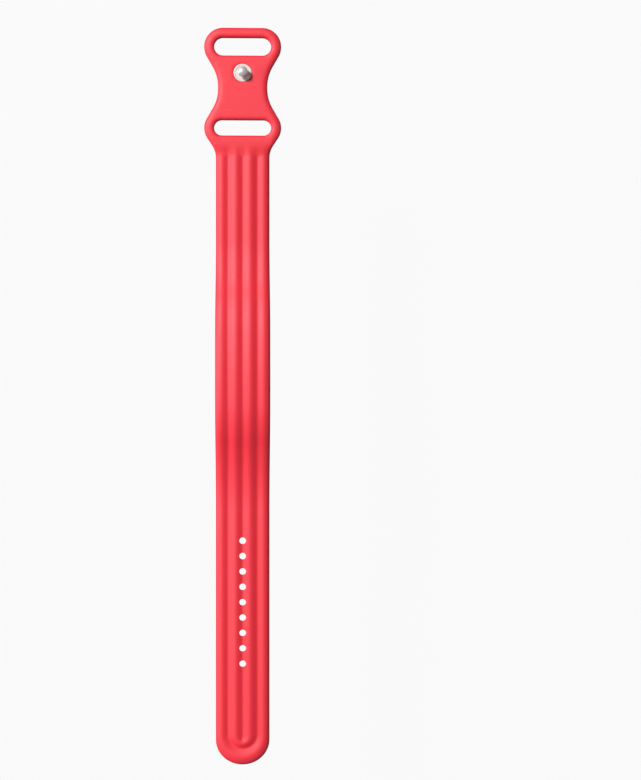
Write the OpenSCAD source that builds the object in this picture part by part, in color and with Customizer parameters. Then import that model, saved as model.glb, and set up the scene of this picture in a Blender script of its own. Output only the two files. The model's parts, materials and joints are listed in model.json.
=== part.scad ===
// Moulded elastomer wristband with a stud-and-hole closure, lying flat with its outer face up.
// X is across the band, +Y runs towards the head with the two slots and the stud, and +Z is the outer face.
// The band is one moulding. Here it is cut into stretches, so that it can flex at the cuts.
// Millimetres. The origin is under the middle of the band's length, on the surface that it lies on.

/* [Strap] */
// Overall length, from the head's end bar to the tail's tip
strap_len = 247.4; // [244:0.2:252]
// Width of the ribbed band
strap_w = 18; // [17.4:0.1:18.6]
// Thickness at the crest of a rib
strap_t = 2.4; // [2.2:0.1:2.6]
// Depth of the valleys between the four ribs
rib_depth = 0.5; // [0.2:0.05:0.7]
// Distance of the outer valleys from the centre line
valley_x = 4.9; // [4.2:0.1:5.4]

/* [Head] */
// Length of both slots, which the tail passes through
slot_len = 19.15; // [19:0.05:19.6]
// Width of the slot by the end bar
end_slot_w = 6; // [5.6:0.1:6.2]
// Width of the slot by the ribs
rib_slot_w = 5.2; // [5:0.1:5.6]
// Rubber around the outside of each slot
slot_rim = 3.35; // [3.2:0.05:3.6]
// Half the width of the head's neck, at the narrowest place
neck_half_w = 8.27; // [7.9:0.01:8.5]

/* [Stud] */
// Diameter of the disc that lies in the outer face
collar_d = 6.05; // [5.6:0.05:6.4]
// Diameter of the round head that is pushed through a hole
stud_head_d = 3.5; // [3:0.1:3.8]
// Height of the round head
stud_head_h = 1.6; // [1.4:0.1:1.8]
// Diameter of the neck that the hole closes on
stud_neck_d = 2.2; // [2.1:0.1:2.4]
// Length of the neck, a little more than the tail's thickness at a hole
stud_neck_len = 2.1; // [2:0.1:2.4]
// Diameter of the rivet plate in the inner face
back_plate_d = 8; // [7:0.1:8.6]

/* [Adjustment holes] */
// Number of holes along the tail
hole_count = 9; // [1:1:9]
// Diameter of each hole
hole_d = 2.3; // [2:0.1:2.6]
// Distance from one hole to the next
hole_pitch = 5.163; // [5.1:0.001:5.2]

/* [Raised middle] */
// Height of the inner face where the head side leaves the raised middle
shoulder_h = 6.6; // [6.5:0.1:6.8]
// Width of the band over the raised middle
middle_w = 18.4; // [18.4:0.1:19]
// Length of the pocket that opens on the inner face
pocket_len = 20; // [18:0.5:20]
// Width of the pocket
pocket_w = 15; // [14.5:0.1:15.2]
// Height of the pocket's ceiling over the surface that the band lies on
pocket_h = 6.2; // [5.8:0.1:6.4]
// Width of the cup around the pocket
cup_w = 17.2; // [16.8:0.1:17.4]

/* [Flexing] */
// Gap between two stretches of the band, at the middle of its thickness
flex_gap = 0.12; // [0.1:0.01:0.2]
// Degrees that each bend can lift, away from the wrist
lift = 10; // [0:1:10]

/* [Hidden] */
$fn = 64;
OVER = 1;            // how far a cutting shape runs past what it cuts
TALL = 16;           // higher than anything on the band
SLACK = 0.5;         // degrees that stay open at a bend that has reached its limit

// Places along the band
head_end = strap_len / 2;
tail_end = -strap_len / 2;
end_slot_y = head_end - slot_rim - end_slot_w / 2;
rib_slot_y = end_slot_y - 27.25;
stud_y = 108.45;
neck_y = 103.55;
head_flat_y = 52;
head_crest_y = 21;
tail_crest_y = -3;
tail_flat_y = -37.5;
first_hole_y = -48.57;
rib_start_y = 82;
pocket_y = (head_crest_y + tail_crest_y) / 2;

// Head outline
flank_tilt = 30;     // degrees that the sides of the neck lean out
flare_tilt = 33;     // degrees that the sides lean out where the ribbed band widens into the head
flare_fillet = 7.4;

// Lip that holds an insert in the pocket
lip_w = 0.6;
lip_h = 0.9;

// Stud details
shank_d = 2;
collar_t = 0.65;
collar_sunk = 0.5;
back_plate_t = 0.8;
collar_top = strap_t - collar_sunk + collar_t;

// The side view is a flat end, an S-shaped flank, a slightly domed crest, a flank and a flat end. All arcs are
// tangential where they meet. Slopes are in degrees, down from the crest.
crest_slope_head = 5;
crest_slope_tail = 4.5;
flank_slope_head = 22;
flank_slope_tail = 20.5;
low_slope_tail = 9.5; // at the tail side's third bend
crest_r = (head_crest_y - tail_crest_y) / (sin(crest_slope_head) + sin(crest_slope_tail));
peak_y = head_crest_y - crest_r * sin(crest_slope_head);
peak_z = shoulder_h + crest_r * (1 - cos(crest_slope_head));
tail_shoulder_h = peak_z - crest_r * (1 - cos(crest_slope_tail));

// Radii of a flank's two arcs, the one at the crest first, from its top slope, steepest slope, run and height
function flank_radii(top, steep, run, height) =
    let (a = sin(steep) - sin(top), b = sin(steep), c = cos(top) - cos(steep), d = 1 - cos(steep))
    [run * d - b * height, a * height - run * c] / (a * d - b * c);
head_r = flank_radii(crest_slope_head, flank_slope_head, head_flat_y - head_crest_y, shoulder_h);
tail_r = flank_radii(crest_slope_tail, flank_slope_tail, tail_crest_y - tail_flat_y, tail_shoulder_h);

// Each bend as [y, z, slope] on the inner face, counted from the raised middle outwards
head_bends = concat([[head_crest_y, shoulder_h, crest_slope_head],
        [head_flat_y - head_r[1] * sin(flank_slope_head), head_r[1] * (1 - cos(flank_slope_head)), flank_slope_head]],
    [for (y = [head_flat_y, 61, 72.5, 84, 99.5]) [y, 0, 0]]);
tail_bends = concat([[tail_crest_y, tail_shoulder_h, -crest_slope_tail],
        [tail_flat_y + tail_r[1] * sin(flank_slope_tail), tail_r[1] * (1 - cos(flank_slope_tail)), -flank_slope_tail],
        [tail_flat_y + tail_r[1] * sin(low_slope_tail), tail_r[1] * (1 - cos(low_slope_tail)), -low_slope_tail],
        [tail_flat_y, 0, 0]],
    [for (k = [0:6]) [first_hole_y + (0.5 - 2 * k) * hole_pitch, 0, 0]]);

// Degrees that each bend can close around a wrist, in the same order
head_wrap = [24, 26, 28, 26, 24, 22, 20];
tail_wrap = [24, 24, 24, 26, 26, 28, 26, 26, 24, 22, 20];

// Points on an arc around [x, y], from one angle to another
function arc(x, y, r, from, to, steps) =
    [for (i = [0:steps]) let (a = from + (to - from) * i / steps) [x + r * cos(a), y + r * sin(a)]];

// The same points mirrored to the other side of the centre line, in the opposite order
function mirrored(points) = [for (i = [len(points) - 1:-1:0]) [-points[i][0], points[i][1]]];

// ---- cross-section of the ribbed band ----

// Height of the outer face at a distance x from the centre line: four ribs, each a parabola
function rib_z(x, w) =
    let (low = x < valley_x ? 0 : valley_x, high = x < valley_x ? valley_x : w / 2)
    strap_t - rib_depth * pow((2 * x - low - high) / (high - low), 2);

// Section of a band of width w, with its inner face at y = 0
function section(w) =
    let (foot = 0.3,
        xs = concat([for (k = [0:4]) k / 4 * valley_x], [for (k = [1:4]) valley_x + k / 4 * (w / 2 - valley_x)]),
        right = concat([[w / 2 - foot, 0], [w / 2, foot]], [for (i = [8:-1:1]) [xs[i], rib_z(xs[i], w)]]))
    concat(right, [[0, rib_z(0, w)]], mirrored(right));

// A straight stretch from y0 up to y1
module straight(y0, y1) {
    translate([0, y1, 0]) rotate([90, 0, 0]) linear_extrude(y1 - y0) polygon(section(strap_w));
}

// A stretch curved about the axis along X at [y, z]. The inner face has radius r. crown is 1 where the outer face
// bulges and -1 where it is hollow. Angles turn from +Y to +Z.
module curved(y, z, r, from, to, crown) {
    outline = [for (p = section(middle_w)) [r + crown * p[1], p[0]]];
    translate([0, y, z]) rotate([90, 0, 90]) rotate([0, 0, from])
        rotate_extrude(angle = to - from, $fn = 360) polygon(outline);
}

// Plan of the band from one flat stretch over the raised middle to the other
module flank_plan() {
    right = [[strap_w / 2, tail_flat_y - OVER], [strap_w / 2, tail_flat_y], [middle_w / 2, tail_crest_y],
        [middle_w / 2, head_crest_y], [strap_w / 2, head_flat_y], [strap_w / 2, head_flat_y + OVER]];
    linear_extrude(2 * TALL, center = true) polygon(concat(right, mirrored(right)));
}

// ---- bends ----

// What is cut away at a bend, so that the stretches on its two sides can turn about the middle of the thickness
module bend_cut(bend, wrap) {
    reach = strap_t / 2 + 0.4;
    waist = flex_gap / 2;
    inner = waist + reach * tan(wrap / 2 + SLACK);
    outer = waist + reach * tan(lift / 2 + SLACK);
    right = [[inner, -reach], [waist, 0], [outer, reach]];
    translate([0, bend[0], bend[1]]) rotate([-bend[2], 0, 0]) translate([0, 0, strap_t / 2])
        rotate([90, 0, 90]) linear_extrude(3 * strap_w, center = true) polygon(concat(right, mirrored(right)));
}

// The children are stretch i of one side of the band, cut at the bend on each of its ends
module cut_ends(bends, wraps, i) {
    difference() {
        children();
        bend_cut(bends[i], wraps[i]);
        if (i + 1 < len(bends)) {
            bend_cut(bends[i + 1], wraps[i + 1]);
        }
    }
}

// ---- raised middle ----

// A plate with half-round ends, in plan over the raised middle
module pill(l, w) {
    side = (l - w) / 2;
    translate([0, pocket_y]) polygon(concat(arc(0, side, w / 2, 0, 180, 24), arc(0, -side, w / 2, 180, 360, 24)));
}

// The crest with the cup that hangs from it. The cup's pocket is open on the inner face, behind a thin lip.
module strap_middle() {
    crest_z = peak_z - crest_r;
    cup_len = pocket_len + cup_w - pocket_w;
    color("tomato") difference() {
        union() {
            curved(peak_y, crest_z, crest_r, 90 - crest_slope_head, 90 + crest_slope_tail, 1);
            intersection() {
                linear_extrude(TALL) pill(cup_len, cup_w);
                translate([0, peak_y, crest_z]) rotate([0, 90, 0])
                    cylinder(r = crest_r + strap_t / 2, h = 2 * middle_w, center = true, $fn = 360);
            }
        }
        translate([0, 0, lip_h]) linear_extrude(pocket_h - lip_h) pill(pocket_len, pocket_w);
        translate([0, 0, -OVER]) linear_extrude(lip_h + 2 * OVER) pill(pocket_len - 2 * lip_w, pocket_w - 2 * lip_w);
        bend_cut(head_bends[0], head_wrap[0]);
        bend_cut(tail_bends[0], tail_wrap[0]);
    }
}

// ---- flanks ----

module strap_to_head_1() {
    color("tomato") cut_ends(head_bends, head_wrap, 0) intersection() {
        curved(head_crest_y - head_r[0] * sin(crest_slope_head), shoulder_h - head_r[0] * cos(crest_slope_head),
            head_r[0], 90 - flank_slope_head, 90 - crest_slope_head, 1);
        flank_plan();
    }
}

module strap_to_head_2() {
    color("tomato") cut_ends(head_bends, head_wrap, 1) intersection() {
        curved(head_flat_y, head_r[1], head_r[1], 270 - flank_slope_head, 270, -1);
        flank_plan();
    }
}

module strap_to_tail_1() {
    color("tomato") cut_ends(tail_bends, tail_wrap, 0) intersection() {
        curved(tail_crest_y + tail_r[0] * sin(crest_slope_tail), tail_shoulder_h - tail_r[0] * cos(crest_slope_tail),
            tail_r[0], 90 + crest_slope_tail, 90 + flank_slope_tail, 1);
        flank_plan();
    }
}

module strap_to_tail_2() {
    color("tomato") cut_ends(tail_bends, tail_wrap, 1) intersection() {
        curved(tail_flat_y, tail_r[1], tail_r[1], 270 + low_slope_tail, 270 + flank_slope_tail, -1);
        flank_plan();
    }
}

module strap_to_tail_3() {
    color("tomato") cut_ends(tail_bends, tail_wrap, 2) intersection() {
        curved(tail_flat_y, tail_r[1], tail_r[1], 270, 270 + low_slope_tail, -1);
        flank_plan();
    }
}

// ---- flat stretches ----

module head_stretch(i) {
    color("tomato") cut_ends(head_bends, head_wrap, i) straight(head_bends[i][0], head_bends[i + 1][0]);
}

// A stretch of the tail, with the adjustment holes that fall within it
module tail_stretch(i) {
    color("tomato") cut_ends(tail_bends, tail_wrap, i) difference() {
        straight(tail_bends[i + 1][0], tail_bends[i][0]);
        for (k = [0:hole_count - 1]) {
            y = first_hole_y - k * hole_pitch;
            if (y < tail_bends[i][0] && y > tail_bends[i + 1][0]) {
                translate([0, y, -OVER]) cylinder(d = hole_d, h = strap_t + 2 * OVER);
            }
        }
    }
}

// The tail's round tip, which the ribs run around
module strap_tip() {
    round_y = tail_end + strap_w / 2;
    half = [for (p = section(strap_w)) if (p[0] >= 0) p];
    color("tomato") cut_ends(tail_bends, tail_wrap, 10) union() {
        straight(round_y, tail_bends[10][0]);
        translate([0, round_y, 0]) rotate([0, 0, 180]) rotate_extrude(angle = 180) polygon(concat([[0, 0]], half));
    }
}

// ---- head ----

// Radius of a neck arc centred at height y, so that a line at flank_tilt touches it and the rim of radius r at c
function neck_r(c, r, y) =
    (sin(flank_tilt) * abs(c[1] - y) - r - cos(flank_tilt) * (c[0] - neck_half_w)) / (1 - cos(flank_tilt));

// Right half of the head's outline, from the ribbed band up to the end bar
function head_half() =
    let (upper = [(slot_len - end_slot_w) / 2, end_slot_y], upper_r = end_slot_w / 2 + slot_rim,
        lower = [(slot_len - rib_slot_w) / 2, rib_slot_y], lower_r = rib_slot_w / 2 + slot_rim,
        neck_top = neck_y + 0.35, neck_low = neck_y - 0.35,
        n1 = neck_r(upper, upper_r, neck_top), n2 = neck_r(lower, lower_r, neck_low),
        flare_x = strap_w / 2 + flare_fillet,
        flare_y = rib_slot_y - (lower_r + flare_fillet - cos(flare_tilt) * (flare_x - lower[0])) / sin(flare_tilt))
    concat(arc(flare_x, flare_y, flare_fillet, 180, 180 - flare_tilt, 6),
        arc(lower[0], lower[1], lower_r, -flare_tilt, flank_tilt, 12),
        arc(neck_half_w + n2, neck_low, n2, 180 + flank_tilt, 180, 6),
        arc(neck_half_w + n1, neck_top, n1, 180, 180 - flank_tilt, 6),
        arc(upper[0], upper[1], upper_r, -flank_tilt, 90, 16));

// The head's smooth plate, from y0 up to y1
module head_plate(y0, y1) {
    right = concat([[strap_w / 2, rib_start_y - 4]], head_half());
    intersection() {
        linear_extrude(strap_t) polygon(concat(right, mirrored(right)));
        translate([-strap_w, y0, -OVER]) cube([2 * strap_w, y1 - y0, TALL]);
    }
}

module slot(y, w) {
    side = (slot_len - w) / 2;
    translate([0, y, -OVER]) {
        for (x = [-side, side]) {
            translate([x, 0, 0]) cylinder(d = w, h = TALL);
        }
        translate([-side, -w / 2, 0]) cube([2 * side, w, TALL]);
    }
}

module strap_to_head_5() {
    color("tomato") cut_ends(head_bends, head_wrap, 4) union() {
        straight(head_bends[4][0], rib_start_y);
        head_plate(rib_start_y, head_bends[5][0]);
    }
}

module strap_to_head_6() {
    color("tomato") cut_ends(head_bends, head_wrap, 5) difference() {
        head_plate(head_bends[5][0], head_bends[6][0]);
        slot(rib_slot_y, rib_slot_w);
    }
}

module strap_head() {
    color("tomato") cut_ends(head_bends, head_wrap, 6) difference() {
        head_plate(head_bends[6][0], head_end + OVER);
        slot(end_slot_y, end_slot_w);
        translate([0, stud_y, -OVER]) cylinder(d = shank_d, h = TALL);
        translate([0, stud_y, -OVER]) cylinder(d = back_plate_d, h = back_plate_t + OVER);
        translate([0, stud_y, strap_t - collar_sunk]) cylinder(d = collar_d, h = TALL);
    }
}

// ---- stud ----

// The shank is riveted in the back plate and carries the neck and the round head
module stud_pin() {
    bottom = collar_top + stud_neck_len;
    rim_z = 0.55;
    dome = [for (a = [0:10:90]) [stud_head_d / 2 * cos(a), rim_z + (stud_head_h - rim_z) * sin(a)]];
    color("silver") translate([0, stud_y, 0]) {
        cylinder(d = shank_d, h = collar_top);
        translate([0, 0, collar_top]) cylinder(d = stud_neck_d, h = stud_neck_len);
        translate([0, 0, bottom]) rotate_extrude() polygon(concat([[0, 0], [stud_head_d / 2 - 0.3, 0]], dome));
    }
}

module stud_collar() {
    color("silver") translate([0, stud_y, strap_t - collar_sunk]) difference() {
        cylinder(d = collar_d, h = collar_t);
        translate([0, 0, -OVER]) cylinder(d = shank_d, h = TALL);
    }
}

module stud_back_plate() {
    color("silver") translate([0, stud_y, 0]) difference() {
        cylinder(d = back_plate_d, h = back_plate_t);
        translate([0, 0, -OVER]) cylinder(d = shank_d, h = TALL);
    }
}

strap_middle();
strap_to_head_1();
strap_to_head_2();
head_stretch(2);  // strap_to_head_3
head_stretch(3);  // strap_to_head_4
strap_to_head_5();
strap_to_head_6();
strap_head();
strap_to_tail_1();
strap_to_tail_2();
strap_to_tail_3();
tail_stretch(3);  // strap_to_tail_4
tail_stretch(4);  // strap_to_tail_5
tail_stretch(5);  // strap_to_tail_6
tail_stretch(6);  // strap_to_tail_7
tail_stretch(7);  // strap_to_tail_8
tail_stretch(8);  // strap_to_tail_9
tail_stretch(9);  // strap_to_tail_10
strap_tip();
stud_pin();
stud_collar();
stud_back_plate();
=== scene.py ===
import json
import math

import bmesh
import bpy
import numpy as np
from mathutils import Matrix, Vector
from mathutils.geometry import delaunay_2d_cdt


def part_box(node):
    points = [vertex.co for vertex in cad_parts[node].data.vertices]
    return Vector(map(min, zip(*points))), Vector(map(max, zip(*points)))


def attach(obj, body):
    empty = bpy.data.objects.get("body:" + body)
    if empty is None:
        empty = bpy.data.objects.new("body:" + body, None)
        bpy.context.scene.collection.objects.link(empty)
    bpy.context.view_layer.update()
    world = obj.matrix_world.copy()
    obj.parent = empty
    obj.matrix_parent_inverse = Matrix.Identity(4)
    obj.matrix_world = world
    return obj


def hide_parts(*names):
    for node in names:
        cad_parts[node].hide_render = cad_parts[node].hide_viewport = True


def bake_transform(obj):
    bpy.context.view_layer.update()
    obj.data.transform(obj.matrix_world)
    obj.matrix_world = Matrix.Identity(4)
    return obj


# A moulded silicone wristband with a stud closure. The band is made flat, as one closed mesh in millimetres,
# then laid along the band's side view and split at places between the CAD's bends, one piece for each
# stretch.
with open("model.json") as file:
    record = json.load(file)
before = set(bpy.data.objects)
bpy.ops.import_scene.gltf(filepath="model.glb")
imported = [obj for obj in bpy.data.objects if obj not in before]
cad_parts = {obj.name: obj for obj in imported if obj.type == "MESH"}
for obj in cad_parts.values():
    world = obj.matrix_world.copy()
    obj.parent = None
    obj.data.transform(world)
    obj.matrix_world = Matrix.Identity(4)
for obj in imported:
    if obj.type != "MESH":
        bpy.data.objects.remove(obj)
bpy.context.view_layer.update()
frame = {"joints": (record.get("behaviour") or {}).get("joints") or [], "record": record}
MM = 0.001


def pivot(joint_name):
    """A joint's place in millimetres."""
    joint = next(j for j in frame["joints"] if j["name"] == joint_name)
    return Vector(joint["pos_m"]) / MM


def corners(node):
    """A CAD node's lowest and highest corners in millimetres."""
    return tuple(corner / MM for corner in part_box(node))


# ---- sizes of the band, in millimetres ----

THICKNESS = corners("strap_to_head_3")[1].z
HALF_WIDTH = corners("strap_tip")[1].x
MIDDLE_HALF_WIDTH = corners("strap_middle")[1].x
HEAD_END = corners("strap_head")[1].y
TAIL_END = corners("strap_tip")[0].y
RIB_DEPTH = 0.68
RIB_POWER = 2.0          # how flat a rib's crest is
VALLEY_X = 4.9
VALLEY_BLUNT = 0.7
CROWN = 0.75             # how much lower the ribbed band is at its sides than in the middle
TIP_ROUND = 8.24         # how far back from the tip the band is full width
VALLEY_ROUND_Y = TAIL_END + 10.3   # where the outer valleys start to curve round to each other
CENTRE_VALLEY_END_Y = TAIL_END + 9.0
RIB_FADE = (84.8, 80.4)  # the valleys fade in over this stretch, from the head to the band

SLOT_HALF_LENGTH = 9.575
END_SLOT_HALF_WIDTH = 3.0
RIB_SLOT_HALF_WIDTH = 2.6
SLOT_RIM = 3.35
NECK_HALF_WIDTH = 8.27
NECK_Y = 103.55
NECK_STRAIGHT = 0.35
FLANK_TILT = 30          # degrees that the neck's sides lean out
FLARE_TILT = 33          # degrees that the sides lean out where the band widens into the head
FLARE_FILLET = 7.4
END_SLOT_Y = HEAD_END - SLOT_RIM - END_SLOT_HALF_WIDTH
RIB_SLOT_Y = END_SLOT_Y - 27.25

HOLE_R = 1.15
HOLE_PITCH = (pivot("tail_flex_5").y - pivot("tail_flex_6").y) / 2
FIRST_HOLE_Y = pivot("tail_flex_5").y - HOLE_PITCH / 2
HOLE_COUNT = 9

STUD_LOW, STUD_HIGH = corners("stud_pin")
STUD_Y = (STUD_LOW.y + STUD_HIGH.y) / 2
SHANK_R = 1.0
COLLAR_R = corners("stud_collar")[1].x
COLLAR_LOW, COLLAR_TOP = (corner.z for corner in corners("stud_collar"))
BACK_PLATE_R = corners("stud_back_plate")[1].x
BACK_PLATE_TOP = corners("stud_back_plate")[1].z

# Widths and heights of the rounded edges
BAND_EDGE = (0.85, 0.55)
HEAD_EDGE = (1.9, 1.15)
SLOT_EDGE = (1.25, 0.85)
HOLE_EDGE = (0.14, 0.14)
UNDER_EDGE = (0.35, 0.35)

# The cup under the raised middle
CUP_Y = 9.0
CUP_HALF_LENGTH = 11.1
CUP_HALF_WIDTH = 8.6
CUP_WALL = 1.1
CUP_LIP = 0.6
CUP_CEILING = 6.2
CORNER_ANGLES = (0.4, 0.8, 1.2, 1.57)
ROOF_END = 6.5           # from the end of the pocket's ceiling to the first point on its centre line

# Side view: slopes in radians, down towards +Y
CREST_SLOPE = (math.radians(5), math.radians(-4.5))
STEEPEST = (math.radians(22), math.radians(-20.5))
HEAD_FLAT_Y = pivot("head_flex_3").y
TAIL_FLAT_Y = pivot("tail_flex_4").y
HEAD_CREST_Y = 21.0
TAIL_CREST_Y = -3.0
SHOULDER_Z = 6.6


# ---- the band's side view ----

def flank_radii(top, steep, run, height):
    """Radii of a flank's two arcs, the one at the crest first."""
    top, steep = abs(top), abs(steep)
    rows = [[math.sin(steep) - math.sin(top), math.sin(steep)],
            [math.cos(top) - math.cos(steep), 1 - math.cos(steep)]]
    return np.linalg.solve(rows, [run, height])


def side_view():
    """The inner face's line between its two flat ends, as arcs: [distance, y, z, slope, signed radius] at the
    start of each, from the head's flat end towards the tail's, and one last row for the tail's flat end."""
    crest_r = (HEAD_CREST_Y - TAIL_CREST_Y) / (math.sin(CREST_SLOPE[0]) - math.sin(CREST_SLOPE[1]))
    drop = crest_r * (math.cos(CREST_SLOPE[1]) - math.cos(CREST_SLOPE[0]))
    head = flank_radii(CREST_SLOPE[0], STEEPEST[0], HEAD_FLAT_Y - HEAD_CREST_Y, SHOULDER_Z)
    tail = flank_radii(CREST_SLOPE[1], STEEPEST[1], TAIL_CREST_Y - TAIL_FLAT_Y, SHOULDER_Z + drop)
    arcs = [(head[1], 0, STEEPEST[0]), (head[0], STEEPEST[0], CREST_SLOPE[0]), (crest_r, *CREST_SLOPE),
            (tail[0], CREST_SLOPE[1], STEEPEST[1]), (tail[1], STEEPEST[1], 0)]
    rows = []
    s, y, z = HEAD_FLAT_Y, HEAD_FLAT_Y, 0.0
    for radius, start, stop in arcs:
        r = math.copysign(radius, stop - start)
        rows.append([s, y, z, start, r])
        s -= r * (stop - start)
        y -= r * (math.sin(stop) - math.sin(start))
        z += r * (math.cos(start) - math.cos(stop))
    rows.append([s, y, z, 0, math.inf])
    return np.array(rows)


SIDE_VIEW = side_view()


def lay(points):
    """Takes points (x, s, h) of the flat band, s along the inner face and h above it, to where they are in
    the row frame. All in millimetres."""
    x, s, h = np.asarray(points, float).T
    knot = SIDE_VIEW[np.clip(np.searchsorted(-SIDE_VIEW[:, 0], -s, side="right") - 1, 0, len(SIDE_VIEW) - 1)]
    along = knot[:, 0] - s
    curved = (along > 0) & np.isfinite(knot[:, 4])
    r = np.where(curved, knot[:, 4], 1.0)
    start = knot[:, 3]
    slope = np.where(curved, start + along / r, 0.0)
    y = np.where(curved, knot[:, 1] - r * (np.sin(slope) - np.sin(start)), knot[:, 1] - along)
    z = np.where(curved, knot[:, 2] + r * (np.cos(start) - np.cos(slope)), knot[:, 2])
    return np.column_stack([x, y + h * np.sin(slope), z + h * np.cos(slope)])


def distance_of(y, h=0.0):
    """The distance s at which the band passes y, at a height h above its inner face."""
    s = np.linspace(HEAD_END + 5, SIDE_VIEW[-1, 0] - 100, 20001)
    at = lay(np.column_stack([0 * s, s, 0 * s + h]))[:, 1]
    return np.interp(y, at[::-1], s[::-1])


def bend_distances(side, count):
    """Distances along the band of one side's joints, which are at mid-thickness."""
    return [float(distance_of(pivot(f"{side}_flex_{i}").y, THICKNESS / 2)) for i in range(1, count + 1)]


TAIL_SHIFT = float(distance_of(TAIL_END)) - TAIL_END
TAIL_TIP = TAIL_END + TAIL_SHIFT
TIP_CENTRE = TAIL_TIP + TIP_ROUND
VALLEY_ROUND = VALLEY_ROUND_Y + TAIL_SHIFT
CENTRE_VALLEY_END = CENTRE_VALLEY_END_Y + TAIL_SHIFT
HOLES = [FIRST_HOLE_Y + TAIL_SHIFT - k * HOLE_PITCH for k in range(HOLE_COUNT)]

# Distances of the bends, and the seams between the pieces, from the raised middle outwards. Each seam is
# halfway between two bends, except beside the cup and beside the rib slot.
HEAD_BENDS = bend_distances("head", 7)
TAIL_BENDS = bend_distances("tail", 11)
CUP_GAP = 0.75
SLOT_SEAM = 95.2
HEAD_SEAMS = [float(distance_of(CUP_Y + CUP_HALF_LENGTH + CUP_GAP))]
HEAD_SEAMS += [(a + b) / 2 for a, b in zip(HEAD_BENDS[:5], HEAD_BENDS[1:6])] + [SLOT_SEAM]
TAIL_SEAMS = [float(distance_of(CUP_Y - CUP_HALF_LENGTH - CUP_GAP))]
TAIL_SEAMS += [(a + b) / 2 for a, b in zip(TAIL_BENDS[:-1], TAIL_BENDS[1:])]


def smooth_step(t):
    t = np.clip(t, 0, 1)
    return t * t * (3 - 2 * t)


# ---- plan of the flat band ----

def arc(centre, r, start, stop, steps):
    a = np.radians(np.linspace(start, stop, steps + 1))
    return np.column_stack([centre[0] + r * np.cos(a), centre[1] + r * np.sin(a)])


def neck_radius(centre, r, y):
    """Radius of a neck arc centred at y, so that a line at FLANK_TILT touches it and the rim of radius r."""
    tilt = math.radians(FLANK_TILT)
    reach = math.sin(tilt) * abs(centre[1] - y) - r - math.cos(tilt) * (centre[0] - NECK_HALF_WIDTH)
    return reach / (1 - math.cos(tilt))


def head_side():
    """Right side of the head's outline, from the band up to the end bar."""
    upper, upper_r = (SLOT_HALF_LENGTH - END_SLOT_HALF_WIDTH, END_SLOT_Y), END_SLOT_HALF_WIDTH + SLOT_RIM
    lower, lower_r = (SLOT_HALF_LENGTH - RIB_SLOT_HALF_WIDTH, RIB_SLOT_Y), RIB_SLOT_HALF_WIDTH + SLOT_RIM
    neck_top, neck_low = NECK_Y + NECK_STRAIGHT, NECK_Y - NECK_STRAIGHT
    r_top, r_low = neck_radius(upper, upper_r, neck_top), neck_radius(lower, lower_r, neck_low)
    flare = math.radians(FLARE_TILT)
    flare_x = HALF_WIDTH + FLARE_FILLET
    flare_y = RIB_SLOT_Y - (lower_r + FLARE_FILLET - math.cos(flare) * (flare_x - lower[0])) / math.sin(flare)
    rim = arc(lower, lower_r, -FLARE_TILT, FLANK_TILT, 20)
    neck = arc((NECK_HALF_WIDTH + r_low, neck_low), r_low, 180 + FLANK_TILT, 180, 14)
    share = (SLOT_SEAM - rim[-1, 1]) / (neck[0, 1] - rim[-1, 1])
    at_seam = rim[-1] + share * (neck[0] - rim[-1])
    return np.vstack([arc((flare_x, flare_y), FLARE_FILLET, 180, 180 - FLARE_TILT, 12), rim, [at_seam], neck,
                      arc((NECK_HALF_WIDTH + r_top, neck_top), r_top, 180, 180 - FLANK_TILT, 14),
                      arc(upper, upper_r, -FLANK_TILT, 90, 34)])


def row_distances():
    """Distances of the rows of points across the ribbed band. Every seam on it is one."""
    keys = sorted([TIP_CENTRE, VALLEY_ROUND, head_side()[0, 1], *TAIL_SEAMS, *HEAD_SEAMS[:-1]])
    rows = [keys[0]]
    for low, high in zip(keys, keys[1:]):
        count = max(1, math.ceil((high - low) / 1.0))
        rows += list(low + (high - low) * np.arange(1, count + 1) / count)
    return np.array(rows)


ROWS = row_distances()


def straight_half_width(s):
    """Half the width of the ribbed band, which is wider over the raised middle."""
    up = smooth_step((s - SIDE_VIEW[5, 0]) / (SIDE_VIEW[3, 0] - SIDE_VIEW[5, 0]))
    down = smooth_step((SIDE_VIEW[0, 0] - s) / (SIDE_VIEW[0, 0] - SIDE_VIEW[2, 0]))
    return HALF_WIDTH + (MIDDLE_HALF_WIDTH - HALF_WIDTH) * np.minimum(up, down)


def right_side():
    """Right side of the whole outline, from the tip to the end bar."""
    a = np.radians(np.linspace(-90, 0, 41)[:-1])
    tip = np.column_stack([HALF_WIDTH * np.cos(a), TIP_CENTRE + TIP_ROUND * np.sin(a)])
    band = np.column_stack([straight_half_width(ROWS), ROWS])
    return np.vstack([tip, band, head_side()[1:]])


SIDE = right_side()
MONOTONE = SIDE[:, 1] <= RIB_SLOT_Y


def half_width(s):
    return np.interp(s, SIDE[MONOTONE, 1], SIDE[MONOTONE, 0])


def outline():
    """The whole outline, counter-clockwise from the tip."""
    bar_x = SIDE[-1, 0] * np.linspace(1, -1, 17)[1:-1]
    bar = np.column_stack([bar_x, np.full(len(bar_x), HEAD_END)])
    return np.vstack([SIDE, bar, SIDE[:0:-1] * (-1, 1)])


def pill(centre, half_length, half_width, steps, along_x):
    """A shape with half-round ends, counter-clockwise. Its long side lies along x or along y."""
    reach = half_length - half_width
    flat = max(2, int(2 * reach / 1.0))
    straight = np.linspace(-reach, reach, flat + 1)[1:-1]
    right = arc((reach, 0), half_width, -90, 90, steps)
    top = np.column_stack([straight[::-1], np.full(len(straight), half_width)])
    shape = np.vstack([right, top, -right, -top])
    if not along_x:
        shape = np.column_stack([-shape[:, 1], shape[:, 0]])
    return shape + centre


def circle(centre, r, steps):
    return arc(centre, r, 0, 360, steps)[:-1]


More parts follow.
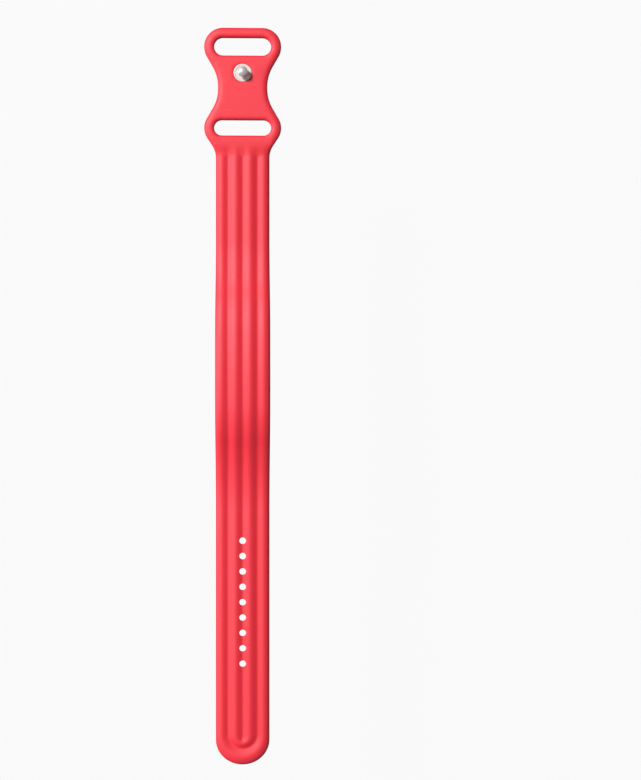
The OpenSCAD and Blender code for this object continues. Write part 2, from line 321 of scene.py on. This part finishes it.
def outward(loop):
    """Unit normals that point out of a counter-clockwise loop."""
    along = np.roll(loop, -1, 0) - np.roll(loop, 1, 0)
    along /= np.linalg.norm(along, axis=1)[:, None]
    return np.column_stack([along[:, 1], -along[:, 0]])


# ---- height of the outer face ----

def outer_height(points):
    """Height of the flat band's outer face: four ribs between narrow valleys, and a crown across the band,
    both fading out towards the head. The outer valleys meet round the end of the centre one. A rib's height
    falls off with its own two valleys' distances."""
    x, s = np.abs(points[:, 0]), points[:, 1]
    from_round = np.where(s < VALLEY_ROUND, np.hypot(x, s - VALLEY_ROUND), x)
    from_centre = np.where(s < CENTRE_VALLEY_END, np.hypot(x, s - CENTRE_VALLEY_END), x)
    inside = from_round < VALLEY_X
    tip_share = np.hypot(x / HALF_WIDTH, (s - TIP_CENTRE) / TIP_ROUND)
    from_tip_centre = np.hypot(x, s - TIP_CENTRE)
    to_edge = np.where(s < TIP_CENTRE, from_tip_centre / np.maximum(tip_share, 1e-6) - from_tip_centre,
                       half_width(s) - x)
    blunt = lambda d: np.hypot(d, VALLEY_BLUNT) - VALLEY_BLUNT
    outer = blunt(np.abs(VALLEY_X - from_round))
    other = np.where(inside, blunt(from_centre), np.maximum(to_edge, 0))
    u = np.abs(outer - other) / np.maximum(outer + other, 1e-6)
    start, full = RIB_FADE
    depth = RIB_DEPTH * smooth_step((start - s) / (start - full))
    crown = CROWN * depth / RIB_DEPTH * (x / HALF_WIDTH) ** 2
    return THICKNESS - depth * u ** RIB_POWER - crown


# ---- the band's mesh ----

class Skin:
    """Points in millimetres in the row frame, each with its distance s along the band, and faces."""

    def __init__(self):
        self.points, self.distances, self.faces, self.count = [], [], [], 0

    def add(self, flat):
        """Adds points (x, s, h) of the flat band and returns their numbers."""
        return self.add_placed(lay(flat), flat[:, 1])

    def add_placed(self, points, distances):
        first = self.count
        self.points.append(points)
        self.distances.append(distances)
        self.count += len(points)
        return np.arange(first, self.count)

    def strip(self, rings):
        """Faces between rings of points, which are lists of numbers of the same length."""
        for one, two in zip(rings, rings[1:]):
            quads = np.column_stack([one, np.roll(one, -1), np.roll(two, -1), two])
            self.faces += quads.tolist()

    def sheet(self, loops, holes, inner, chains, height):
        """Fills the plan inside loops[0] and outside holes with triangles. chains are rows of points that
        edges follow. height gives a point's height."""
        points = [*loops, *holes, inner]
        starts = np.cumsum([0] + [len(p) for p in points])
        flat = np.vstack(points)
        edges = []
        for start, loop in zip(starts, [*loops, *holes]):
            edges += [(start + i, start + (i + 1) % len(loop)) for i in range(len(loop))]
        for chain in chains:
            near = [int(np.argmin(np.hypot(*(flat - p).T))) for p in chain]
            edges += list(zip(near, near[1:]))
        made, _, triangles, *_ = delaunay_2d_cdt([Vector(p) for p in flat], edges, [], 0, 1e-5)
        made = np.array(made, float)
        triangles = np.array(triangles)
        middle = made[triangles].mean(1)
        keep = inside_of(loops[0], middle)
        for hole in holes:
            keep &= ~inside_of(hole, middle)
        numbers = self.add(np.column_stack([made, height(made)]))
        self.faces += numbers[triangles[keep]].tolist()


def inside_of(loop, points):
    """Which points are inside a loop."""
    low, high = loop.min(0), loop.max(0)
    found = np.zeros(len(points), bool)
    near = np.where(np.all((points > low) & (points < high), axis=1))[0]
    x, y = points[near].T
    crossed = np.zeros(len(near), bool)
    for (x0, y0), (x1, y1) in zip(loop, np.roll(loop, -1, 0)):
        spans = (y0 > y) != (y1 > y)
        if y0 != y1:
            crossed ^= spans & (x < x0 + (y - y0) / (y1 - y0) * (x1 - x0))
    found[near] = crossed
    return found


ROUND_STEPS = 6


def edge_rings(skin, loop, inwards, top, under):
    """The wall along a loop with rounded edges, from the outer face's ring to the inner face's. inwards
    points into the rubber. top is [width, height] of the upper rounding, one for each point, and under is
    the lower one."""
    rings = []
    for k in range(ROUND_STEPS + 1):
        a = math.pi / 2 * k / ROUND_STEPS
        plan = loop + inwards * (top[:, :1] * (1 - math.sin(a)))
        rings.append(np.column_stack([plan, outer_height(plan) - top[:, 1] * (1 - math.cos(a))]))
    for k in range(ROUND_STEPS, -1, -2):
        a = math.pi / 2 * k / ROUND_STEPS
        plan = loop + inwards * (under[0] * (1 - math.sin(a)))
        rings.append(np.column_stack([plan, np.full(len(plan), under[1] * (1 - math.cos(a)))]))
    skin.strip([skin.add(ring) for ring in rings])
    return rings[0][:, :2], rings[-1][:, :2]


def stud_seat(skin):
    """The stud's bore, with the collar's recess in the outer face and the back plate's in the inner face."""
    centre, steps = (0, STUD_Y), 72
    bead, gap = 0.16, 0.02
    levels = [(COLLAR_R + bead + gap, THICKNESS), (COLLAR_R + 0.07, THICKNESS - 0.05),
              (COLLAR_R + gap, THICKNESS - bead), (COLLAR_R + gap, COLLAR_LOW + gap),
              (COLLAR_R - 0.04, COLLAR_LOW - gap), (SHANK_R, COLLAR_LOW - gap),
              (SHANK_R, BACK_PLATE_TOP + gap), (BACK_PLATE_R - 0.04, BACK_PLATE_TOP + gap),
              (BACK_PLATE_R + gap, BACK_PLATE_TOP - gap),
              (BACK_PLATE_R + gap, bead), (BACK_PLATE_R + 0.07, 0.05), (BACK_PLATE_R + bead + gap, 0)]
    rings = []
    for r, height in levels:
        plan = circle(centre, r, steps)
        rings.append(np.column_stack([plan, np.full(steps, height)]))
    skin.strip([skin.add(ring) for ring in rings])
    return rings[0][:, :2], rings[-1][:, :2]


def cup(skin):
    """The cup under the raised middle, from the band's inner face down to the rim, round the lip and up to
    the pocket's ceiling. Returns the loop where it leaves the inner face."""
    loop = pill((0, CUP_Y), CUP_HALF_LENGTH, CUP_HALF_WIDTH, 36, along_x=False)
    away = outward(loop)
    s = distance_of(loop[:, 1])
    fillet = 0.2 + 0.35 * np.abs(away[:, 1])
    rings = []
    for k in range(5):
        a = math.pi / 2 * k / 4
        out = fillet * (1 - math.sin(a))
        y_out = distance_of(loop[:, 1] + away[:, 1] * out)
        rings.append(np.column_stack([loop[:, 0] + away[:, 0] * out, y_out, -fillet * (1 - math.cos(a))]))
    numbers = [skin.add(ring) for ring in rings]
    rim, mouth, pocket = 0.4, CUP_WALL + CUP_LIP, CUP_WALL
    corner = 0.7
    levels = [(0, 2.2), (0, rim)]
    levels += [(rim * (1 - math.cos(a)), rim * (1 - math.sin(a))) for a in CORNER_ANGLES]
    levels += [(mouth - 0.3, 0), (mouth - 0.09, 0.06), (mouth, 0.28), (mouth, 0.6), (mouth - 0.08, 0.72),
               (pocket + 0.1, 1.02), (pocket, 1.15), (pocket, 3), (pocket, CUP_CEILING - corner)]
    levels += [(pocket + corner * (1 - math.cos(a)), CUP_CEILING - corner * (1 - math.sin(a)))
               for a in CORNER_ANGLES]
    for inset, z in levels:
        plan = loop - away * inset
        numbers.append(skin.add_placed(np.column_stack([plan, np.full(len(plan), z)]), s))
    skin.strip(numbers)
    ceiling = loop - away * (pocket + corner)
    middle = np.linspace(ceiling[:, 1].min() + ROOF_END, ceiling[:, 1].max() - ROOF_END, 6)
    roof = np.column_stack([0 * middle, middle, 0 * middle + CUP_CEILING])
    spine = skin.add_placed(roof, distance_of(middle))
    close_with_spine(skin, numbers[-1], spine)
    return rings[0][:, :2]


def close_with_spine(skin, ring, spine):
    """Closes a ring of points with triangles to a row of points inside it."""
    placed = np.vstack(skin.points)
    nearest = [int(spine[np.argmin(np.abs(placed[spine, 1] - placed[i, 1]))]) for i in ring]
    for i, here in enumerate(nearest):
        following, there = int(ring[(i + 1) % len(ring)]), nearest[(i + 1) % len(ring)]
        skin.faces.append([int(ring[i]), following, here])
        if there != here:
            skin.faces.append([following, there, here])


# Distances from the centre line of the points in a row across the outer face and the inner face
TOP_COLUMNS = [0, 0.1, 0.22, 0.4, 0.7, 1.15, 1.8, 2.45, 3.1, 3.75, 4.2, 4.5, 4.68, 4.8, 4.9, 5.0, 5.12, 5.3,
               5.6, 6.1, 6.7, 7.3, 7.75]
UNDER_COLUMNS = [0, 2.2, 4.4, 6.6, 8.1]
TIP_COLUMNS = [8.3, 8.9, 9.5]          # further rings of points, where they are inside the tip
GRID_X, GRID_S = 1.4, 0.9              # spacing of the points on the head
HOLE_RINGS = ((1.45, 48), (1.75, 36))  # radius and number of points of the rings around a hole
HOLE_CLEAR = 1.95                      # no other points are nearer a hole's centre than this


def both_sides(columns):
    return np.array([-x for x in columns[:0:-1]] + list(columns))


def inner_points(columns, edge_width, polar_step):
    """Points inside the plan: rows across the ribbed band, rings around the tip, and a grid on the head."""
    xs = both_sides(columns)
    found = []
    for s in ROWS[ROWS >= VALLEY_ROUND]:
        found.append(np.column_stack([xs * straight_half_width(s) / HALF_WIDTH, np.full(len(xs), s)]))
    for a in np.radians(np.arange(180 + polar_step, 359, polar_step)):
        radii = np.array([*columns[1:], *TIP_COLUMNS])
        ring = np.column_stack([radii * math.cos(a), VALLEY_ROUND + radii * math.sin(a)])
        scaled = np.hypot(ring[:, 0] / (HALF_WIDTH - edge_width - 0.3),
                          np.minimum(ring[:, 1] - TIP_CENTRE, 0) / (TIP_ROUND - edge_width - 0.3))
        found.append(ring[scaled < 1])
    rows = np.arange(ROWS[-1] + GRID_S, HEAD_END - 1, GRID_S)
    grid = np.array([(x, s) for s in rows for x in np.arange(-11.2, 11.3, GRID_X)])
    return np.vstack(found), grid


def far_from(points, loops, gap):
    """Which points are further than gap from every point of the loops."""
    keep = np.ones(len(points), bool)
    for loop in loops:
        for p in loop:
            keep &= np.hypot(*(points - p).T) > gap
    return keep


def seam_chain(ring, s, inner):
    """A row of points across the plan at a seam, from the ring's right side to its left side."""
    near = np.abs(inner[:, 1] - s) < 1e-6
    row = inner[near]
    right = ring[ring[:, 0] > 0]
    left = ring[ring[:, 0] < 0]
    pick = lambda side: side[np.argmin(np.abs(side[:, 1] - s) + 0.05 * (HALF_WIDTH - np.abs(side[:, 0])))]
    return [pick(right), *row[np.argsort(-row[:, 0])], pick(left)]


def make_skin():
    """The whole band as one mesh."""
    skin = Skin()
    loop = outline()
    share = smooth_step((loop[:, 1] - RIB_FADE[1]) / 8)[:, None]
    edge = np.array(BAND_EDGE) * (1 - share) + np.array(HEAD_EDGE) * share
    top_outline, under_outline = edge_rings(skin, loop, -outward(loop), edge, UNDER_EDGE)
    top_holes, under_holes, rings = [], [], []

    def cut(shape, top):
        rounding = np.tile(top, (len(shape), 1))
        under = top if top == HOLE_EDGE else (0.3, 0.3)
        above, below = edge_rings(skin, shape, outward(shape), rounding, under)
        top_holes.append(above)
        under_holes.append(below)

    cut(pill((0, END_SLOT_Y), SLOT_HALF_LENGTH, END_SLOT_HALF_WIDTH, 28, along_x=True), SLOT_EDGE)
    cut(pill((0, RIB_SLOT_Y), SLOT_HALF_LENGTH, RIB_SLOT_HALF_WIDTH, 28, along_x=True), SLOT_EDGE)
    for s in HOLES:
        cut(circle((0, s), HOLE_R, 48), HOLE_EDGE)
        rings += [circle((0, s), r, count) for r, count in HOLE_RINGS]
    above, below = stud_seat(skin)
    top_holes.append(above)
    under_holes.append(below)
    under_holes.append(cup(skin))

    flat_under = lambda points: np.zeros(len(points))
    fill_face(skin, top_outline, top_holes, rings, TOP_COLUMNS, outer_height, edge_width=0.9, polar_step=3)
    fill_face(skin, under_outline, under_holes, rings, UNDER_COLUMNS, flat_under, edge_width=0.35,
              polar_step=15)
    return skin


def fill_face(skin, border, holes, rings, columns, height, edge_width, polar_step):
    """Fills the outer or the inner face inside its border. The inner face's last hole is the cup. polar_step
    is the angle in degrees between the rows of points around the tip."""
    band, grid = inner_points(columns, edge_width, polar_step)
    band = band[far_from(band, [[(0, s)] for s in HOLES], HOLE_CLEAR)]
    clear = far_from(grid, [border, *holes], 0.6) & inside_of(border, grid)
    for hole in holes:
        clear &= ~inside_of(hole, grid)
    off_cup = np.ones(len(band), bool)
    if height is not outer_height:
        off_cup = ~inside_of(holes[-1], band) & far_from(band, [holes[-1]], 0.4)
    inner = np.vstack([band[off_cup], grid[clear], *rings])
    chains = [seam_chain(border, s, inner) for s in [*TAIL_SEAMS, *HEAD_SEAMS[:-1]]]
    off_seam = lambda p: abs(p[1] - SLOT_SEAM) + 0.2 * abs(abs(p[0]) - 10)
    chains.append([min(border[border[:, 0] > 0], key=off_seam), min(border[border[:, 0] < 0], key=off_seam)])
    skin.sheet([border], holes, inner, chains, height)


def welded(skin):
    """The band's mesh in metres with its doubles merged, and each vertex's distance along the band."""
    points = np.vstack(skin.points) * MM
    mesh = bpy.data.meshes.new("whole_band")
    mesh.from_pydata(points.tolist(), [], skin.faces)
    attribute = mesh.attributes.new("distance", "FLOAT", "POINT")
    attribute.data.foreach_set("value", np.concatenate(skin.distances).astype(np.float32))
    bm = bmesh.new()
    bm.from_mesh(mesh)
    bmesh.ops.remove_doubles(bm, verts=bm.verts, dist=2e-6)
    loose = [v for v in bm.verts if not v.link_faces]
    bmesh.ops.delete(bm, geom=loose, context="VERTS")
    bmesh.ops.recalc_face_normals(bm, faces=bm.faces)
    open_edges = sum(not e.is_manifold for e in bm.edges)
    print("band: vertices", len(bm.verts), "faces", len(bm.faces), "open edges", open_edges)
    bm.to_mesh(mesh)
    bm.free()
    mesh.shade_smooth()
    return mesh


def split(mesh, cuts):
    """Splits the mesh at distances along the band, cuts in rising order, into one mesh for each stretch. Each
    keeps the whole mesh's normals, so that no seam shows."""
    count = len(mesh.vertices)
    co = np.zeros(count * 3)
    mesh.vertices.foreach_get("co", co)
    co = co.reshape(-1, 3)
    normals = np.array([n.vector for n in mesh.vertex_normals])
    s = np.zeros(count)
    mesh.attributes["distance"].data.foreach_get("value", s)
    faces = [list(p.vertices) for p in mesh.polygons]
    stretch = np.searchsorted(cuts, [s[f].mean() for f in faces])
    parts = []
    for k in range(len(cuts) + 1):
        chosen = [f for f, belongs in zip(faces, stretch == k) if belongs]
        used = np.unique(np.concatenate(chosen))
        renumber = {int(v): i for i, v in enumerate(used)}
        part = bpy.data.meshes.new("stretch")
        part.from_pydata(co[used].tolist(), [], [[renumber[v] for v in f] for f in chosen])
        part.shade_smooth()
        part.normals_split_custom_set_from_vertices(normals[used].tolist())
        parts.append(part)
    return parts


# ---- materials ----

def new_material(name, colour, metallic, roughness):
    material = bpy.data.materials.new(name)
    material.use_nodes = True
    shader = material.node_tree.nodes["Principled BSDF"]
    shader.inputs["Base Color"].default_value = (*colour, 1)
    shader.inputs["Metallic"].default_value = metallic
    shader.inputs["Roughness"].default_value = roughness
    return material, material.node_tree, shader


def noise(tree, vector, scale, detail):
    node = tree.nodes.new("ShaderNodeTexNoise")
    node.inputs["Scale"].default_value = scale
    node.inputs["Detail"].default_value = detail
    tree.links.new(vector, node.inputs["Vector"])
    return node.outputs["Fac"]


def map_range(tree, value, low, high):
    node = tree.nodes.new("ShaderNodeMapRange")
    node.inputs["To Min"].default_value = low
    node.inputs["To Max"].default_value = high
    tree.links.new(value, node.inputs["Value"])
    return node.outputs["Result"]


def bump(tree, shader, height, strength, distance):
    node = tree.nodes.new("ShaderNodeBump")
    node.inputs["Strength"].default_value = strength
    node.inputs["Distance"].default_value = distance
    tree.links.new(height, node.inputs["Height"])
    tree.links.new(node.outputs["Normal"], shader.inputs["Normal"])


COLOUR_A, COLOUR_B = 6, 7    # a colour mix's two inputs, by number


def silicone():
    """Coral red silicone: soft sheen, a fine moulded grain, and faint changes of shade."""
    material, tree, shader = new_material("coral_silicone", (0.98, 0.02, 0.045), 0, 0.58)
    place = tree.nodes.new("ShaderNodeTexCoord").outputs["Object"]
    shade = map_range(tree, noise(tree, place, 90, 3), 0.35, 0.65)
    ramp = tree.nodes.new("ShaderNodeMix")
    ramp.data_type = "RGBA"
    ramp.inputs[COLOUR_A].default_value = (0.97, 0.019, 0.043, 1)
    ramp.inputs[COLOUR_B].default_value = (0.99, 0.021, 0.047, 1)
    tree.links.new(shade, ramp.inputs[0])
    tree.links.new(ramp.outputs[2], shader.inputs["Base Color"])
    grain = noise(tree, place, 5200, 2)
    tree.links.new(map_range(tree, noise(tree, place, 900, 4), 0.56, 0.64), shader.inputs["Roughness"])
    bump(tree, shader, grain, 0.25, 0.00003)
    shader.inputs["Specular IOR Level"].default_value = 0.85
    shader.inputs["Subsurface Weight"].default_value = 0.1
    shader.inputs["Subsurface Radius"].default_value = (0.0010, 0.0003, 0.0002)
    shader.inputs["Subsurface Scale"].default_value = 1.0
    return material


def satin_steel():
    """Pale satin steel, turned, with fine rings around the stud's axis."""
    material, tree, shader = new_material("satin_steel", (0.80, 0.77, 0.73), 0.3, 0.45)
    place = tree.nodes.new("ShaderNodeTexCoord").outputs["Object"]
    offset = tree.nodes.new("ShaderNodeVectorMath")
    offset.operation = "SUBTRACT"
    offset.inputs[1].default_value = (0, STUD_Y * MM, 0)
    flatten = tree.nodes.new("ShaderNodeVectorMath")
    flatten.operation = "MULTIPLY"
    flatten.inputs[1].default_value = (1, 1, 0)
    length = tree.nodes.new("ShaderNodeVectorMath")
    length.operation = "LENGTH"
    tree.links.new(place, offset.inputs[0])
    tree.links.new(offset.outputs[0], flatten.inputs[0])
    tree.links.new(flatten.outputs[0], length.inputs[0])
    rings = tree.nodes.new("ShaderNodeTexNoise")
    rings.noise_dimensions = "1D"
    rings.inputs["Scale"].default_value = 9000
    rings.inputs["Detail"].default_value = 3
    tree.links.new(length.outputs["Value"], rings.inputs["W"])
    tree.links.new(map_range(tree, noise(tree, place, 1500, 3), 0.38, 0.5), shader.inputs["Roughness"])
    bump(tree, shader, rings.outputs["Fac"], 0.3, 0.00001)
    return material


def polished_steel():
    """Polished steel with faint handling marks."""
    material, tree, shader = new_material("polished_steel", (0.80, 0.79, 0.78), 0.5, 0.3)
    place = tree.nodes.new("ShaderNodeTexCoord").outputs["Object"]
    tree.links.new(map_range(tree, noise(tree, place, 2500, 4), 0.24, 0.36), shader.inputs["Roughness"])
    bump(tree, shader, noise(tree, place, 4000, 3), 0.08, 0.00001)
    return material


# ---- stud ----

def turned(name, profile, material, steps=96):
    """A piece turned around the stud's axis. profile is a closed list of (radius, z) in millimetres; points
    on the axis have radius 0."""
    bm = bmesh.new()
    rings = []
    for r, z in profile:
        if r == 0:
            rings.append([bm.verts.new((0, STUD_Y * MM, z * MM))])
        else:
            rings.append([bm.verts.new((x * MM, y * MM, z * MM)) for x, y in circle((0, STUD_Y), r, steps)])
    pairs = list(zip(rings, rings[1:]))
    if len(rings[0]) > 1:
        pairs.append((rings[-1], rings[0]))
    for one, two in pairs:
        for i in range(steps):
            j = (i + 1) % steps
            corner = [one[i % len(one)], one[j % len(one)], two[j % len(two)], two[i % len(two)]]
            bm.faces.new(list(dict.fromkeys(corner)))
    bmesh.ops.recalc_face_normals(bm, faces=bm.faces)
    mesh = bpy.data.meshes.new(name)
    bm.to_mesh(mesh)
    bm.free()
    mesh.shade_smooth()
    mesh.materials.append(material)
    piece = bpy.data.objects.new(name, mesh)
    bpy.context.scene.collection.objects.link(piece)
    return piece


def stud_pieces():
    satin, polished = satin_steel(), polished_steel()
    r, top = COLLAR_R, COLLAR_TOP
    collar = turned("stud_collar_disc", [
        (SHANK_R, COLLAR_LOW), (r - 0.03, COLLAR_LOW), (r, COLLAR_LOW + 0.03), (r, top - 0.14),
        (r - 0.03, top - 0.06), (r - 0.09, top - 0.01), (r - 0.15, top), (r - 0.34, top),
        (r - 0.40, top - 0.015), (r - 0.46, top - 0.05),
        (r - 0.54, top - 0.06), (1.6, top - 0.06), (1.3, top - 0.05), (SHANK_R, top - 0.04)], satin)
    neck, head_r = 1.1, STUD_HIGH.x
    head_low = STUD_HIGH.z - 1.6
    rim = head_low + 0.55
    angles = np.radians(range(0, 90, 6))
    dome = [(head_r * math.cos(a), rim + (STUD_HIGH.z - rim) * math.sin(a)) for a in angles]
    pin = turned("stud_head_pin", [
        (0, top - 0.1), (neck + 0.2, top - 0.1), (neck + 0.2, top - 0.04), (neck + 0.06, top + 0.05),
        (neck, top + 0.2), (neck, head_low - 0.15), (neck + 0.05, head_low - 0.04), (neck + 0.16, head_low),
        (head_r - 0.38, head_low), (head_r - 0.16, head_low + 0.08), (head_r - 0.05, head_low + 0.25),
        *dome, (0, STUD_HIGH.z)], polished)
    r, top = BACK_PLATE_R, BACK_PLATE_TOP
    plate = turned("stud_rivet_plate", [
        (0, 0.06), (0.75, 0.05), (0.93, 0.02), (1.0, 0.0), (1.03, 0.07), (1.08, 0.07), (1.12, 0.02),
        (2.9, 0.02), (3.0, 0.05), (3.1, 0.02), (r - 0.2, 0.02), (r - 0.06, 0.05), (r, 0.16),
        (r, top - 0.03), (r - 0.03, top),
        (0, top)], satin)
    for piece, node, slot in ((collar, "stud_collar", "stud_satin"), (pin, "stud_pin", "stud_polished"),
                              (plate, "stud_back_plate", "stud_satin")):
        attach(piece, "head_body")
        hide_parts(node)


# ---- the band's pieces ----


def band_pieces():
    """Splits the skin into one piece for each CAD stretch. The middle one is rigid. Each of the others is
    baked in place, and the CAD stretch after the joint between its stretch and the one before is hidden."""
    material = silicone()
    cuts = sorted([*TAIL_SEAMS, *HEAD_SEAMS])
    parts = split(welded(make_skin()), cuts)
    middle = len(TAIL_SEAMS)
    for k, mesh in enumerate(parts):
        mesh.materials.append(material)
        side, number = ("tail", middle - k) if k < middle else ("head", k - middle)
        name = "skin_middle" if number == 0 else f"skin_to_{side}_{number}"
        mesh.name = name
        piece = bpy.data.objects.new(name, mesh)
        bpy.context.scene.collection.objects.link(piece)
        if number == 0:
            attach(piece, "middle_body")
            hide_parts("strap_middle")
            continue
        joint = next(j for j in frame["joints"] if j["name"] == f"{side}_flex_{number}")
        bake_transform(piece)
        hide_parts(*frame["record"]["behaviour"]["bodies"][joint["child"]][:1])


# ---- stage ----

FLOOR_SIZE = 4
FLOOR_Z = -0.095         # low enough for the band to curl above it
FLOOR_CLEARNESS = 0.985
BACKDROP = 0.955         # brightness of the background as the camera sees it
AMBIENT = 0.14
# Name, place in metres, diameter and power of each light
LIGHTS = [("key", (-1.28, 1.06, 2.08), 0.67, 68.0),
          ("side", (-1.3, 0.1, 0.2), 0.5, 7.5),
          ("fill", (1.3, 0, 0.3), 0.6, 0.5)]

# The camera is straight above the band, turned a little about the band's length, so that the band is left of
# centre. All in millimetres.
SENSOR = 36
CAMERA_HEIGHT = 717
FRAME_LENGTH = 262.6     # how much the picture's longer side shows, at the camera's height above the table
CAMERA_Y = 2.07
CAMERA_ASIDE = 26.2


def pale_floor():
    """A pale floor under the band, nearly clear, so that the band casts hardly any shadow."""
    bpy.ops.mesh.primitive_plane_add(size=FLOOR_SIZE, location=(0, 0, FLOOR_Z))
    floor = bpy.context.object
    floor.name = "floor"
    material, _, _ = new_material("pale_floor", (0.9, 0.9, 0.9), 0, 0.9)
    tree = material.node_tree
    veil = tree.nodes.new("ShaderNodeMixShader")
    veil.inputs["Fac"].default_value = FLOOR_CLEARNESS
    tree.links.new(tree.nodes["Principled BSDF"].outputs[0], veil.inputs[1])
    tree.links.new(tree.nodes.new("ShaderNodeBsdfTransparent").outputs[0], veil.inputs[2])
    tree.links.new(veil.outputs[0], tree.nodes["Material Output"].inputs["Surface"])
    floor.data.materials.append(material)


def studio_world():
    """Dim white light from all round, in front of a pale background."""
    world = bpy.data.worlds.new("studio")
    bpy.context.scene.world = world
    world.use_nodes = True
    tree = world.node_tree
    light = tree.nodes["Background"]
    light.inputs["Color"].default_value = (1, 1, 1, 1)
    light.inputs["Strength"].default_value = AMBIENT
    seen = tree.nodes.new("ShaderNodeBackground")
    seen.inputs["Color"].default_value = (BACKDROP, BACKDROP, BACKDROP, 1)
    choose = tree.nodes.new("ShaderNodeMixShader")
    path = tree.nodes.new("ShaderNodeLightPath")
    tree.links.new(path.outputs["Is Camera Ray"], choose.inputs[0])
    tree.links.new(light.outputs[0], choose.inputs[1])
    tree.links.new(seen.outputs[0], choose.inputs[2])
    tree.links.new(choose.outputs[0], tree.nodes["World Output"].inputs["Surface"])


def stage():
    """The floor, the background, a soft key light from the upper left, and weaker lights from both sides."""
    pale_floor()
    scene = bpy.context.scene
    scene.view_settings.view_transform = "Standard"
    studio_world()
    for name, place, size, power in LIGHTS:
        data = bpy.data.lights.new(name, "AREA")
        data.shape = "DISK"
        data.size = size
        data.energy = power
        lamp = bpy.data.objects.new(name, data)
        lamp.location = place
        lamp.rotation_mode = "QUATERNION"
        lamp.rotation_quaternion = (-Vector(place)).to_track_quat("-Z", "Y")
        scene.collection.objects.link(lamp)


def camera():
    data = bpy.data.cameras.new("camera")
    data.sensor_width = SENSOR
    data.lens = SENSOR * CAMERA_HEIGHT / FRAME_LENGTH
    data.clip_start, data.clip_end = 0.05, 10
    eye = bpy.data.objects.new("camera", data)
    eye.location = (0, CAMERA_Y * MM, CAMERA_HEIGHT * MM)
    eye.rotation_euler = (0, -math.atan(CAMERA_ASIDE / CAMERA_HEIGHT), 0)
    bpy.context.scene.collection.objects.link(eye)
    bpy.context.scene.camera = eye


camera()
stage()
stud_pieces()
band_pieces()
